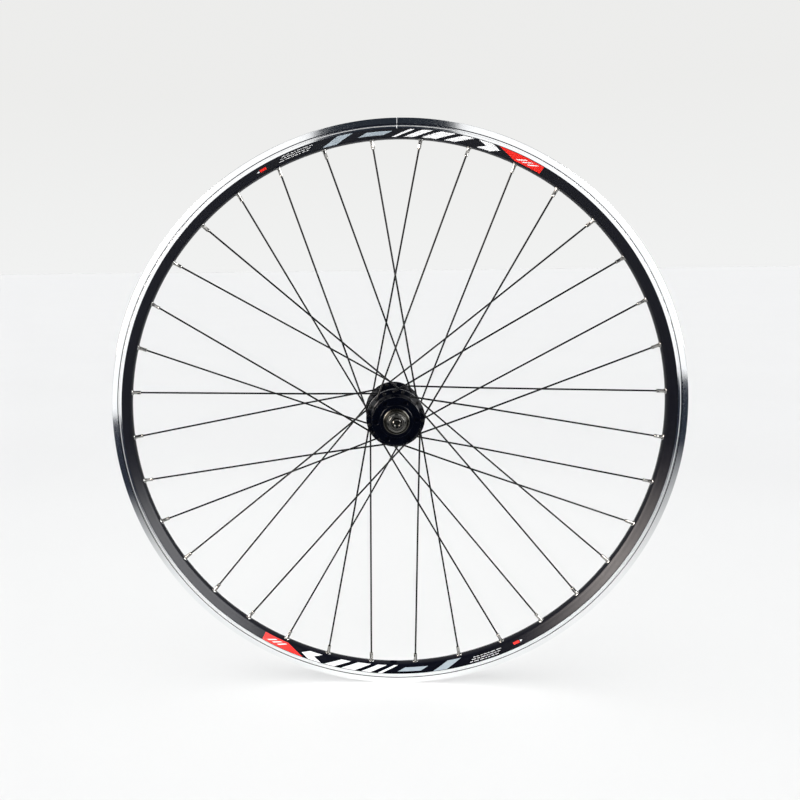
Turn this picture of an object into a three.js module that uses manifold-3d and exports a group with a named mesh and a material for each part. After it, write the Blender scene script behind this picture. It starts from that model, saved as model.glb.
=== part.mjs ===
// Front bicycle wheel: a double-wall rim, 36 wire spokes laced three-cross to a disc-brake hub,
// and a hollow quick-release axle on cup-and-cone bearings.
// Millimetres, +Z up. The origin is the wheel's centre: on the axle's line, in the rim's mid-plane.
// The axle lies along Y. The brake-disc side, called left, is -Y.
import * as THREE from 'three';
import { mergeVertices } from 'three/addons/utils/BufferGeometryUtils.js';
import Module from 'manifold-3d';

const wasm = await Module();
wasm.setup();

// ---- driving dimensions ----
const GAP = 0.3; // running or seating gap between neighbours

const RIM_OUTER_R = 317.5; // 622 mm bead seat and 6.5 mm high flanges
const BEAD_SEAT_R = 311.0;
const RIM_HALF_WIDTH = 12.3;
const CREST_R = 296.9; // innermost line of the rim, where the nipples come out
const TRACK_INNER_R = 306.5; // where the flat brake track turns into the sidewall
const WEAR_LINE_R = 310.85;
const RIM_FACETS = 60;
const CAVITY_FLOOR_R = 299.0;
const VALVE_HOLE_R = 4.25;
const VALVE_ANGLE = 270; // degrees from +X towards +Z; the rim's joint is opposite
const JOINT_ANGLE = 90;

const SPOKES = 36;
const FIRST_SPOKE_ANGLE = 5;
const CROSS_ANGLE = 60; // a three-cross spoke leaves the hub this far round from its rim hole
const LAST_CROSSING_ANGLE = 50; // and meets its last partner this far round
const SPOKE_R = 1.0;
const SPOKE_HEAD_R = 1.9;
const NIPPLE_R = 2.0;
const NIPPLE_HEAD_R = 3.1;
const NIPPLE_TIP_R = 287.6; // distances of the nipple's ends from the wheel's centre
const NIPPLE_HEAD_FOOT_R = 299.8;
const NIPPLE_END_R = 302.6;
const NIPPLE_HOLE_R = 2.9;
const ACCESS_HOLE_R = 4.3;

const SPOKE_CIRCLE_R = 29.3;
const SPOKE_HOLE_R = 1.6;
const FLANGE_R = 32.2;
const FLANGE_HALF_THICKNESS = 1.6;
const LEFT_FLANGE_Y = -19.9;
const RIGHT_FLANGE_Y = 33.9;
const ROTOR_FACE_Y = -39.5;
const ROTOR_BOSS_R = 26.2;
const ROTOR_PILOT_R = 17.7;
const ROTOR_BOLT_CIRCLE_R = 22;
const ROTOR_BOLTS = 6;
const ROTOR_BOLT_R = 2.5;
const ROTOR_BOLT_DEPTH = 9.5;
const FIRST_ROTOR_BOLT_ANGLE = 4;
const HUB_FACETS = 36;

const LOCKNUT_FACE_Y = 50; // half of the 100 mm between the fork's ends
const AXLE_END_Y = 54;
const AXLE_R = 4.5;
const AXLE_BORE_R = 2.7;
const THREAD_CLEARANCE_R = AXLE_R + GAP;
const AXLE_FACETS = 24;

const BALLS = 10;
const BALL_R = 2.38; // 3/16 inch
const BALL_CIRCLE_R = 8.9;
const BEARING_Y = 33.3;

const DECAL_START = 59.8; // degrees; each film is as long again from its start to its end
const DECAL_END = 119.5;
const DECAL_GAP = 0.3;
const DECAL_THICKNESS = 0.25;

// ---- finishes ----
const finish = (color, roughness, metalness) => new THREE.MeshStandardMaterial({ color, roughness, metalness });
const BLACK_ALUMINIUM = finish(0x1c1c20, 0.4, 0.7);
const BLACK_STEEL = finish(0x101012, 0.35, 0.6);
const STEEL = finish(0xa7a8a4, 0.3, 0.9);
const OLIVE_STEEL = finish(0x6c6b62, 0.4, 0.8);
const BEARING_STEEL = finish(0xc4c6c8, 0.12, 1.0);
const FILM = finish(0x16161a, 0.25, 0.0);

// ---- helpers ----
const rad = THREE.MathUtils.degToRad;
const mirrored = (points) => points.map(([r, y]) => [r, -y]).reverse();

/** A closed outline of [radius, y] points, listed either way round, turned about Y. */
function turned(outline, facets) {
  const points = outline.map(([r, y]) => new THREE.Vector2(r, y));
  if (THREE.ShapeUtils.area(points) < 0) points.reverse(); // so that the faces point outwards
  return new THREE.LatheGeometry([...points, points[0]], facets);
}

/** A round bar along Y from one y to another, with its own radius at each end. */
function bar(fromY, toY, fromR, toR = fromR, facets = AXLE_FACETS) {
  const geometry = new THREE.CylinderGeometry(toR, fromR, toY - fromY, facets);
  return geometry.translate(0, (fromY + toY) / 2, 0);
}

/** A drill of the given radius from one point to another. */
function drill(from, to, radius, facets) {
  const along = to.clone().sub(from);
  const geometry = new THREE.CylinderGeometry(radius, radius, along.length(), facets);
  const turn = new THREE.Quaternion().setFromUnitVectors(new THREE.Vector3(0, 1, 0), along.normalize());
  return geometry.applyQuaternion(turn).translate(...from.clone().add(to).multiplyScalar(0.5));
}

function toSolid(geometry) {
  const bare = geometry.clone();
  bare.deleteAttribute('normal');
  bare.deleteAttribute('uv');
  const merged = mergeVertices(bare, 1e-4);
  return new wasm.Manifold(new wasm.Mesh({
    numProp: 3,
    vertProperties: new Float32Array(merged.attributes.position.array),
    triVerts: new Uint32Array(merged.index.array),
  }));
}

function toGeometry(solid) {
  const mesh = solid.getMesh();
  const geometry = new THREE.BufferGeometry();
  geometry.setAttribute('position', new THREE.BufferAttribute(mesh.vertProperties, 3));
  geometry.setIndex(new THREE.BufferAttribute(mesh.triVerts, 1));
  geometry.computeVertexNormals();
  return geometry;
}

/** The base with the tools cut out of it, all at once. */
const cut = (base, tools) => toGeometry(toSolid(base).subtract(wasm.Manifold.union(tools.map(toSolid))));
const join = (pieces) => toGeometry(wasm.Manifold.union(pieces.map(toSolid)));

/** The point at a radius and an angle round the wheel, measured from +X towards +Z. */
function around(radius, angle, y = 0) {
  return new THREE.Vector3(radius * Math.cos(rad(angle)), y, radius * Math.sin(rad(angle)));
}

/** The part of a turned ring that lies between two angles. */
function sector(ring, fromAngle, toAngle, reach) {
  const wedge = new THREE.Shape();
  wedge.moveTo(0, 0);
  const steps = 4;
  for (let i = 0; i <= steps; i += 1) {
    const angle = rad(fromAngle + ((toAngle - fromAngle) * i) / steps);
    wedge.lineTo(reach * Math.cos(angle), reach * Math.sin(angle));
  }
  const depth = 4 * RIM_HALF_WIDTH;
  const slab = new THREE.ExtrudeGeometry(wedge, { depth, bevelEnabled: false });
  slab.translate(0, 0, -depth / 2).rotateX(Math.PI / 2); // the shape's up becomes +Z
  return toGeometry(toSolid(ring).intersect(toSolid(slab)));
}

/** A rod through stations of { at, along, radius }, with a flat cap at each end. */
function rod(stations, sides = 6) {
  const positions = [];
  const index = [];
  let across = new THREE.Vector3(0.3, 0.2, 1).normalize();
  for (const { at, along, radius } of stations) {
    across = across.clone().addScaledVector(along, -across.dot(along)).normalize();
    const other = along.clone().cross(across);
    for (let k = 0; k < sides; k += 1) {
      const turn = (2 * Math.PI * k) / sides;
      const corner = at.clone().addScaledVector(across, radius * Math.cos(turn));
      positions.push(...corner.addScaledVector(other, radius * Math.sin(turn)));
    }
  }
  const last = (stations.length - 1) * sides;
  for (let k = 0; k < sides; k += 1) {
    const next = (k + 1) % sides;
    for (let base = 0; base < last; base += sides) {
      index.push(base + k, base + next, base + sides + k);
      index.push(base + next, base + sides + next, base + sides + k);
    }
    if (k > 1) {
      index.push(0, k, k - 1);
      index.push(last, last + k - 1, last + k);
    }
  }
  const geometry = new THREE.BufferGeometry();
  geometry.setAttribute('position', new THREE.Float32BufferAttribute(positions, 3));
  geometry.setIndex(index);
  geometry.computeVertexNormals();
  return geometry;
}

// ---- the assembly ----
const wheel = new THREE.Group();

function add(name, geometry, material) {
  const mesh = new THREE.Mesh(geometry, material);
  mesh.name = name;
  wheel.add(mesh);
}

// ---- spokes: where each one runs ----
const FLANGES = [
  { y: LEFT_FLANGE_Y, outward: -1 },
  { y: RIGHT_FLANGE_Y, outward: 1 },
];
const ELBOW_OFFSET = 2.1; // from the flange's face to the spoke's centre line
const CROSSING_SHIFT = SPOKE_R + GAP / 2; // each spoke's half of the space where two cross

/** Spoke i's rim hole, hub hole, last crossing and the side of the flange that it runs on. */
function spokePath(i) {
  const flange = FLANGES[i % 2 === 1 ? 0 : 1];
  const turn = [1, -1, -1, 1][i % 4]; // which way round the hub it leans
  const rimAngle = FIRST_SPOKE_ANGLE + (i * 360) / SPOKES;
  const hubAngle = rimAngle + turn * CROSS_ANGLE;
  const face = turn === 1 ? flange.outward : -flange.outward; // outer spokes run outside
  const elbowY = flange.y + face * (FLANGE_HALF_THICKNESS + ELBOW_OFFSET);
  const rimHole = around(CREST_R, rimAngle);
  const corner = around(SPOKE_CIRCLE_R, hubAngle, elbowY);
  // the straight line in plan is cut where the two spokes' angles meet
  const along = rimHole.clone().sub(corner).setY(0);
  const crossingAngle = rad(hubAngle - turn * LAST_CROSSING_ANGLE);
  const ray = new THREE.Vector3(Math.cos(crossingAngle), 0, Math.sin(crossingAngle));
  const share = (corner.z * ray.x - corner.x * ray.z) / (along.x * ray.z - along.z * ray.x);
  const crossing = corner.clone().addScaledVector(along, share);
  // interlaced: the outer spoke passes inside its partner
  crossing.y = flange.y * (1 - share) - face * CROSSING_SHIFT;
  return { flange, face, rimAngle, hubAngle, rimHole, corner, crossing };
}

function spokeWithNipple(path) {
  const { flange, face, corner, crossing, rimHole } = path;
  const up = new THREE.Vector3(0, face, 0);
  const first = crossing.clone().sub(corner).normalize();
  const second = rimHole.clone().sub(crossing).normalize();
  const bendStart = corner.clone().addScaledVector(up, -ELBOW_OFFSET);
  const bendEnd = corner.clone().addScaledVector(first, ELBOW_OFFSET);
  const bend = new THREE.QuadraticBezierCurve3(bendStart, corner, bendEnd);
  const headTop = corner.clone().setY(flange.y - face * (FLANGE_HALF_THICKNESS + GAP));
  const headEnd = headTop.clone().addScaledVector(up, -1);
  // the nipple's stations are set by their distance from the wheel's centre
  const atRadius = (radius) => rimHole.clone().addScaledVector(second, (radius - CREST_R) / second.dot(
    rimHole.clone().normalize()));
  return rod([
    { at: headEnd, along: up, radius: SPOKE_HEAD_R },
    { at: headTop, along: up, radius: SPOKE_R },
    { at: bendStart, along: up, radius: SPOKE_R },
    { at: bend.getPoint(0.5), along: bend.getTangent(0.5), radius: SPOKE_R },
    { at: bendEnd, along: first, radius: SPOKE_R },
    { at: crossing, along: first.clone().add(second).normalize(), radius: SPOKE_R },
    { at: atRadius(NIPPLE_TIP_R), along: second, radius: SPOKE_R },
    { at: atRadius(NIPPLE_TIP_R + 0.4), along: second, radius: NIPPLE_R },
    { at: atRadius(NIPPLE_HEAD_FOOT_R - 0.2), along: second, radius: NIPPLE_R },
    { at: atRadius(NIPPLE_HEAD_FOOT_R), along: second, radius: NIPPLE_HEAD_R },
    { at: atRadius(NIPPLE_END_R), along: second, radius: NIPPLE_HEAD_R },
  ]);
}

const paths = Array.from({ length: SPOKES }, (_, i) => spokePath(i));

// ---- rim ----
const SIDEWALL = [ // from the brake track down to the nipples, right side
  [TRACK_INNER_R, RIM_HALF_WIDTH],
  [305.9, 12.0],
  [298.7, 5.5],
  [297.4, 2.9],
];
const RIM_RIGHT = [ // the right half of the section, from the crest to the well's floor
  ...SIDEWALL.toReversed(),
  [WEAR_LINE_R - 0.45, RIM_HALF_WIDTH],
  [WEAR_LINE_R, RIM_HALF_WIDTH - 0.45],
  [WEAR_LINE_R + 0.45, RIM_HALF_WIDTH],
  [RIM_OUTER_R, RIM_HALF_WIDTH],
  [RIM_OUTER_R, 9.6], // the hook that holds the tyre's bead
  [RIM_OUTER_R - 2.7, 10.4],
  [BEAD_SEAT_R, 10.4],
  [BEAD_SEAT_R, 8.2],
  [307.8, 5.6],
];
const CAVITY_RIGHT = [
  [CAVITY_FLOOR_R, 3.3],
  [304.6, 8.8],
  [309.4, 10.4],
  [306.3, 5.0],
];
const rimOutline = [[CREST_R, 0], ...RIM_RIGHT, ...mirrored(RIM_RIGHT)];
const cavityOutline = [...CAVITY_RIGHT, ...mirrored(CAVITY_RIGHT)];

function rimGeometry() {
  const tools = [turned(cavityOutline, RIM_FACETS)];
  for (const { rimAngle, rimHole, crossing } of paths) {
    const along = rimHole.clone().sub(crossing).normalize();
    const start = rimHole.clone().addScaledVector(along, -4);
    const end = rimHole.clone().addScaledVector(along, 4);
    tools.push(drill(start, end, NIPPLE_HOLE_R, 6));
    tools.push(drill(around(304.5, rimAngle), around(309.5, rimAngle), ACCESS_HOLE_R, 6));
  }
  tools.push(drill(around(290, VALVE_ANGLE), around(312, VALVE_ANGLE), VALVE_HOLE_R, 8));
  return cut(turned(rimOutline, RIM_FACETS), tools);
}
add('rim', rimGeometry(), BLACK_ALUMINIUM);

// The rim's two ends meet on an insert that fills the cavity between two nipples.
const SLEEVE_HALF_ANGLE = 3.4;
const SLEEVE_RIGHT = [
  [CAVITY_FLOOR_R + 0.5, 3.0],
  [304.9, 8.3],
  [308.7, 9.5],
  [305.8, 4.8],
];
const SLEEVE_BORE_RIGHT = [ // it is an open tube, with walls about 1.3 mm thick
  [CAVITY_FLOOR_R + 1.8, 2.4],
  [304.4, 6.6],
  [304.4, 4.4],
];
const sleeveRing = cut(
  turned([...SLEEVE_RIGHT, ...mirrored(SLEEVE_RIGHT)], RIM_FACETS),
  [turned([...SLEEVE_BORE_RIGHT, ...mirrored(SLEEVE_BORE_RIGHT)], RIM_FACETS)],
);
add('rim_joint_sleeve', sector(sleeveRing, JOINT_ANGLE - SLEEVE_HALF_ANGLE, JOINT_ANGLE + SLEEVE_HALF_ANGLE, 400),
  STEEL);

// ---- decal films on the rim's sidewalls ----
/** The polyline moved sideways, away from the wheel's mid-plane. */
function offset(points, distance) {
  const sides = points.slice(1).map(([r, y], i) => {
    const [dr, dy] = [r - points[i][0], y - points[i][1]];
    const length = Math.hypot(dr, dy);
    return [dy / length, -dr / length];
  });
  return points.map(([r, y], i) => {
    const before = sides[Math.max(i - 1, 0)];
    const after = sides[Math.min(i, sides.length - 1)];
    const [nr, ny] = [before[0] + after[0], before[1] + after[1]];
    const scale = (2 * distance) / (nr * nr + ny * ny);
    return [r + nr * scale, y + ny * scale];
  });
}
const FILM_LINE = [[306.3, 12.2], SIDEWALL[1], [299.0, 5.77]];
const filmOutline = [
  ...offset(FILM_LINE, DECAL_GAP),
  ...offset(FILM_LINE, DECAL_GAP + DECAL_THICKNESS).toReversed(),
];
for (const [side, outline] of [['left', mirrored(filmOutline)], ['right', filmOutline]]) {
  const ring = turned(outline, RIM_FACETS);
  for (const [place, turn] of [['upper', 0], ['lower', 180]]) {
    add(`${side}_${place}_decal`, sector(ring, DECAL_START + turn, DECAL_END + turn, 400), FILM);
  }
}

// ---- spokes, each with its nipple ----
paths.forEach((path, i) => {
  add(`spoke_${String(i + 1).padStart(2, '0')}`, spokeWithNipple(path), BLACK_STEEL);
});

// ---- hub shell ----
const SHELL_END_Y = 41.3;
const CAP_SEAT = { r: 14.4, y: 36.5 }; // counterbore for the dust cap
const CUP_SEAT = { r: 12.6, y: 29.5 }; // and below it the one for the bearing cup
const SHELL_BORE_R = 9;
const shellOutline = [
  [CAP_SEAT.r, -SHELL_END_Y],
  [ROTOR_PILOT_R, -SHELL_END_Y],
  [ROTOR_PILOT_R, ROTOR_FACE_Y],
  [ROTOR_BOSS_R, ROTOR_FACE_Y],
  [ROTOR_BOSS_R, LEFT_FLANGE_Y - FLANGE_HALF_THICKNESS],
  [FLANGE_R, LEFT_FLANGE_Y - FLANGE_HALF_THICKNESS],
  [FLANGE_R, LEFT_FLANGE_Y + FLANGE_HALF_THICKNESS],
  [22, LEFT_FLANGE_Y + FLANGE_HALF_THICKNESS],
  [16.5, -12],
  [15, 0],
  [15, 18],
  [16.5, 26],
  [22, RIGHT_FLANGE_Y - FLANGE_HALF_THICKNESS],
  [FLANGE_R, RIGHT_FLANGE_Y - FLANGE_HALF_THICKNESS],
  [FLANGE_R, RIGHT_FLANGE_Y + FLANGE_HALF_THICKNESS],
  [20, RIGHT_FLANGE_Y + FLANGE_HALF_THICKNESS],
  [17.7, 38],
  [17.7, SHELL_END_Y],
  [CAP_SEAT.r, SHELL_END_Y],
  [CAP_SEAT.r, CAP_SEAT.y],
  [CUP_SEAT.r, CAP_SEAT.y],
  [CUP_SEAT.r, CUP_SEAT.y],
  [SHELL_BORE_R, CUP_SEAT.y],
  [SHELL_BORE_R, -CUP_SEAT.y],
  [CUP_SEAT.r, -CUP_SEAT.y],
  [CUP_SEAT.r, -CAP_SEAT.y],
  [CAP_SEAT.r, -CAP_SEAT.y],
];

function hubShellGeometry() {
  const reach = FLANGE_HALF_THICKNESS + 1;
  const tools = paths.map(({ flange, hubAngle }) => drill(
    around(SPOKE_CIRCLE_R, hubAngle, flange.y - reach),
    around(SPOKE_CIRCLE_R, hubAngle, flange.y + reach),
    SPOKE_HOLE_R,
    6,
  ));
  for (let i = 0; i < ROTOR_BOLTS; i += 1) {
    const angle = FIRST_ROTOR_BOLT_ANGLE + (i * 360) / ROTOR_BOLTS;
    tools.push(drill(
      around(ROTOR_BOLT_CIRCLE_R, angle, ROTOR_FACE_Y - 1),
      around(ROTOR_BOLT_CIRCLE_R, angle, ROTOR_FACE_Y + ROTOR_BOLT_DEPTH),
      ROTOR_BOLT_R,
      8,
    ));
  }
  return cut(turned(shellOutline, HUB_FACETS), tools);
}
add('hub_shell', hubShellGeometry(), BLACK_ALUMINIUM);

// ---- bearings, caps and the axle's hardware, drawn for the right end and mirrored for the left ----
const CUP_RIGHT = [
  [CUP_SEAT.r - GAP, 36.2],
  [11.7, 36.2],
  [11.7, 32.9],
  [10.9, 31.2],
  [9.4, 30.4],
  [9.4, CUP_SEAT.y + GAP],
  [CUP_SEAT.r - GAP, CUP_SEAT.y + GAP],
];
const CAP_RIGHT = [
  [CAP_SEAT.r - GAP, 36.8],
  [CAP_SEAT.r - GAP, 41.2],
  [CAP_SEAT.r - 1, 42.0],
  [9.1, 42.0],
  [9.1, 41.2],
  [13.2, 41.2],
  [13.2, 36.8],
];
const CONE_RIGHT = [
  [THREAD_CLEARANCE_R, 31.6],
  [5.8, 31.6],
  [6.2, 34.3],
  [7.2, 35.8],
  [8.3, 36.4],
  [8.3, 42.9],
  [THREAD_CLEARANCE_R, 42.9],
];
const WASHER_RIGHT = [
  [THREAD_CLEARANCE_R, 43.2],
  [8.0, 43.2],
  [8.0, 44.7],
  [THREAD_CLEARANCE_R, 44.7],
];
const LOCKNUT = { hexR: 9.2, hexFrom: 45.0, collarFrom: 47.6, collarR: 10.3, faceR: 8.2 };

function ballRing(y) {
  const half = 0.7;
  const cage = turned([
    [BALL_CIRCLE_R - half, y - half],
    [BALL_CIRCLE_R + half, y - half],
    [BALL_CIRCLE_R + half, y + half],
    [BALL_CIRCLE_R - half, y + half],
  ], 2 * BALLS);
  const balls = Array.from({ length: BALLS }, (_, i) => {
    const centre = around(BALL_CIRCLE_R, (i * 360) / BALLS, y);
    return new THREE.SphereGeometry(BALL_R, 6, 4).translate(...centre);
  });
  return join([cage, ...balls]);
}

/** The locknut: a hexagon with a round collar whose face bears on the fork. */
function locknut() {
  const { hexR, hexFrom, collarFrom, collarR, faceR } = LOCKNUT;
  const hexagon = bar(hexFrom, collarFrom + 0.5, hexR, hexR, 6);
  const collar = turned([
    [AXLE_BORE_R, collarFrom],
    [collarR, collarFrom],
    [collarR, collarFrom + 1.2],
    [faceR, LOCKNUT_FACE_Y],
    [AXLE_BORE_R, LOCKNUT_FACE_Y],
  ], AXLE_FACETS);
  const body = join([hexagon, collar]);
  return cut(body, [bar(hexFrom - 1, LOCKNUT_FACE_Y + 1, THREAD_CLEARANCE_R)]);
}

for (const [side, turn] of [['left', Math.PI], ['right', 0]]) {
  // half a turn about Z carries the right end's pieces to the left end
  const place = (geometry) => geometry.rotateZ(turn);
  add(`${side}_bearing_cup`, place(turned(CUP_RIGHT, AXLE_FACETS)), BEARING_STEEL);
  add(`${side}_dust_cap`, place(turned(CAP_RIGHT, AXLE_FACETS)), OLIVE_STEEL);
  add(`${side}_ball_ring`, place(ballRing(BEARING_Y)), BEARING_STEEL);
  add(`${side}_cone`, place(turned(CONE_RIGHT, AXLE_FACETS)), STEEL);
  add(`${side}_lock_washer`, place(turned(WASHER_RIGHT, AXLE_FACETS)), STEEL);
  add(`${side}_locknut`, place(locknut()), STEEL);
}

const axleOutline = [
  [AXLE_BORE_R, -AXLE_END_Y],
  [AXLE_R - 0.5, -AXLE_END_Y],
  [AXLE_R, 0.5 - AXLE_END_Y],
  [AXLE_R, AXLE_END_Y - 0.5],
  [AXLE_R - 0.5, AXLE_END_Y],
  [AXLE_BORE_R, AXLE_END_Y],
];
add('axle', turned(axleOutline, AXLE_FACETS), STEEL);

export default wheel;
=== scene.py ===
"""Front bicycle wheel: fine surfaces, finishes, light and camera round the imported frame.

Outlines are in millimetres, as (radius, y) about the axle's line, and turn into metres when a mesh is
made. The axle lies along Y, the brake-disc side is -Y, and angles round the wheel go from +X towards +Z.
"""
import math
import random

import bmesh
import bpy
from mathutils import Matrix, Vector


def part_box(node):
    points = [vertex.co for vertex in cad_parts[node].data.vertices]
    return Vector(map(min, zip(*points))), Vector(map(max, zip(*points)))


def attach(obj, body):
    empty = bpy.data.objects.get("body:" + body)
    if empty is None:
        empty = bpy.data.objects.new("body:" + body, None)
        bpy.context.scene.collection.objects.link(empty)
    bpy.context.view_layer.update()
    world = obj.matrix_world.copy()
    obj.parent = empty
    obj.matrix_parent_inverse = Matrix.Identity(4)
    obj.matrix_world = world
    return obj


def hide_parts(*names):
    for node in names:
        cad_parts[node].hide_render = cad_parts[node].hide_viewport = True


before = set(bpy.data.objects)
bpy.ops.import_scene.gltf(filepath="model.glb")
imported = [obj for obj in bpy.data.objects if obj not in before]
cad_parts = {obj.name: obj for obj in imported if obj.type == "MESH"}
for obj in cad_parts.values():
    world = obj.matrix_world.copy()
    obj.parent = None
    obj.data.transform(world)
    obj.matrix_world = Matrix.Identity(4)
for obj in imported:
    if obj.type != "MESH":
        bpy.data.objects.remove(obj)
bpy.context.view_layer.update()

MM = 0.001


def reach(node, axis):
    """How far a CAD node extends along +X, +Y or +Z, in millimetres."""
    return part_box(node)[1]["xyz".index(axis)] / MM


# ---- sizes ----
RIM_R = reach("rim", "z")
RIM_HALF_WIDTH = reach("rim", "y")
TRACK_INNER_R = 306.5
WEAR_LINE_R = 310.85
CREST_R = 296.9
SIDEWALL = [(TRACK_INNER_R, RIM_HALF_WIDTH), (305.9, 12.0), (302.3, 8.75), (298.7, 5.5), (297.4, 2.9)]
SEAM_ANGLE = 90
VALVE_ANGLE = 270
VALVE_HOLE_R = 4.25
ACCESS_HOLE_R = 4.3
NIPPLE_HOLE_R = 2.9

SPOKES = 36
FIRST_SPOKE_ANGLE = 5
CROSS_ANGLE = 60
LAST_CROSSING_ANGLE = 50
SPOKE_R = 1.0
SPOKE_HEAD_R = 1.9
ELBOW = 2.1
CROSSING_SHIFT = 1.15
SPOKE_CIRCLE_R = 29.3
SPOKE_HOLE_R = 1.6
NIPPLE_R = 2.0
NIPPLE_FLAT = 1.66
NIPPLE_TIP_R = 287.6

FLANGE_R = 32.2
FLANGE_HALF_THICKNESS = 1.6
LEFT_FLANGE_Y = -19.9
RIGHT_FLANGE_Y = 33.9
SHELL_END_Y = reach("hub_shell", "y")
ROTOR_FACE_Y = -39.5
ROTOR_BOSS_R = 26.2
ROTOR_PILOT_R = 17.7
ROTOR_BOLT_CIRCLE_R = 22
ROTOR_BOLTS = 6
ROTOR_BOLT_R = 2.5
FIRST_ROTOR_BOLT_ANGLE = 4

AXLE_END_Y = reach("axle", "y")
AXLE_R = reach("axle", "x")
AXLE_BORE_R = 2.7
THREAD_HOLE_R = 4.8
LOCKNUT_FACE_Y = reach("right_locknut", "y")
HEX_HALF_FLATS = 7.97
BALLS = 10
BALL_R = 2.38
BALL_CIRCLE_R = 8.9
BEARING_Y = 33.3


# ---- mesh tools ----
def around(radius, angle, y=0.0):
    """The point at a radius and an angle in degrees round the wheel."""
    turn = math.radians(angle)
    return Vector((radius * math.cos(turn), y, radius * math.sin(turn)))


def mirrored(outline):
    """The outline on the other side of the wheel's mid-plane, in reverse order."""
    return [(p[0], -p[1], *p[2:]) for p in reversed(outline)]


def rounded(outline, radius, steps=3):
    """A closed outline with its corners rounded. A point's third number is its own radius."""
    result = []
    for i, point in enumerate(outline):
        here = Vector(point[:2])
        before = Vector(outline[i - 1][:2]) - here
        after = Vector(outline[(i + 1) % len(outline)][:2]) - here
        own = point[2] if len(point) > 2 else radius
        turn = math.pi - before.angle(after)
        tangent = min(own * math.tan(turn / 2), 0.45 * before.length, 0.45 * after.length)
        if tangent < 0.01:
            result.append(tuple(here))
            continue
        start = here + before.normalized() * tangent
        end = here + after.normalized() * tangent
        for step in range(steps + 1):
            t = step / steps
            result.append(tuple(start * (1 - t) ** 2 + here * 2 * t * (1 - t) + end * t**2))
    return result


def skin(rings, loop=False):
    """Vertices and faces of a closed skin through rings of points, capped at the ends unless it loops."""
    count = len(rings[0])
    points = [point for ring in rings for point in ring]
    faces = []
    for i in range(len(rings) if loop else len(rings) - 1):
        a = i * count
        b = (i + 1) % len(rings) * count
        for k in range(count):
            n = (k + 1) % count
            faces.append((a + k, a + n, b + n, b + k))
    if not loop:
        faces.append(tuple(range(count)))
        faces.append(tuple(range(len(points) - count, len(points))))
    return points, faces


def lathe(outline, steps, shape=None):
    """A closed (radius, y) outline turned about Y; shape(radius, y, angle) may move each point."""
    rings = []
    for step in range(steps):
        angle = 360 * step / steps
        ring = [shape(r, y, angle) for r, y in outline] if shape else outline
        rings.append([around(r, angle, y) for r, y in ring])
    return skin(rings, loop=True)


def tube(stations, sides):
    """A round bar through stations of (centre, radius)."""
    centres = [station[0] for station in stations]
    rings = []
    across = Vector((0.3, 0.2, 1))
    for i, (centre, radius) in enumerate(stations):
        along = (centres[min(i + 1, len(centres) - 1)] - centres[max(i - 1, 0)]).normalized()
        across = (across - along * across.dot(along)).normalized()
        other = along.cross(across)
        ring = []
        for k in range(sides):
            turn = 2 * math.pi * k / sides
            ring.append(centre + across * (radius * math.cos(turn)) + other * (radius * math.sin(turn)))
        rings.append(ring)
    return skin(rings)


def merged(parts):
    """Several (points, faces) shells as one."""
    points, faces = [], []
    for part_points, part_faces in parts:
        first = len(points)
        points.extend(part_points)
        faces.extend(tuple(first + k for k in face) for face in part_faces)
    return points, faces


def turned_half(shell):
    """The shell carried half a turn about Z, from the right end of the hub to the left."""
    return [Vector((-p.x, -p.y, p.z)) for p in shell[0]], shell[1]


def new_mesh(name, shell):
    mesh = bpy.data.meshes.new(name)
    mesh.from_pydata([point * MM for point in shell[0]], [], shell[1])
    work = bmesh.new()
    work.from_mesh(mesh)
    bmesh.ops.recalc_face_normals(work, faces=work.faces)
    work.to_mesh(mesh)
    work.free()
    return mesh


def smooth(mesh, limit):
    """Smooth shading that breaks at edges sharper than the limit, in degrees."""
    work = bmesh.new()
    work.from_mesh(mesh)
    for face in work.faces:
        face.smooth = True
    for edge in work.edges:
        edge.smooth = len(edge.link_faces) == 2 and edge.calc_face_angle(0) < math.radians(limit)
    work.to_mesh(mesh)
    work.free()


def new_object(name, shell):
    piece = bpy.data.objects.new(name, new_mesh(name, shell))
    bpy.context.scene.collection.objects.link(piece)
    return piece


def cut(piece, *tools):
    """Cuts each tool shell out of a piece in turn."""
    for shell in tools:
        tool = new_object("tool", shell)
        modifier = piece.modifiers.new("cut", "BOOLEAN")
        modifier.operation = "DIFFERENCE"
        modifier.solver = "MANIFOLD"
        modifier.object = tool
        graph = bpy.context.evaluated_depsgraph_get()
        mesh = bpy.data.meshes.new_from_object(piece.evaluated_get(graph))
        piece.modifiers.clear()
        piece.data = mesh
        bpy.data.objects.remove(tool)


def dress(piece, body, finish, stands_for=(), sharp=32):
    """Gives a piece its shading, its finishes in material slots and its body, and hides the CAD nodes it
    stands for.
    """
    smooth(piece.data, sharp)
    piece.data.materials.clear()
    for material in finish if isinstance(finish, list) else [finish]:
        piece.data.materials.append(material)
    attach(piece, body)
    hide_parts(*stands_for)
    return piece


def add(name, shell, body, finish, stands_for=(), sharp=32):
    return dress(new_object(name, shell), body, finish, stands_for, sharp)


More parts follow.
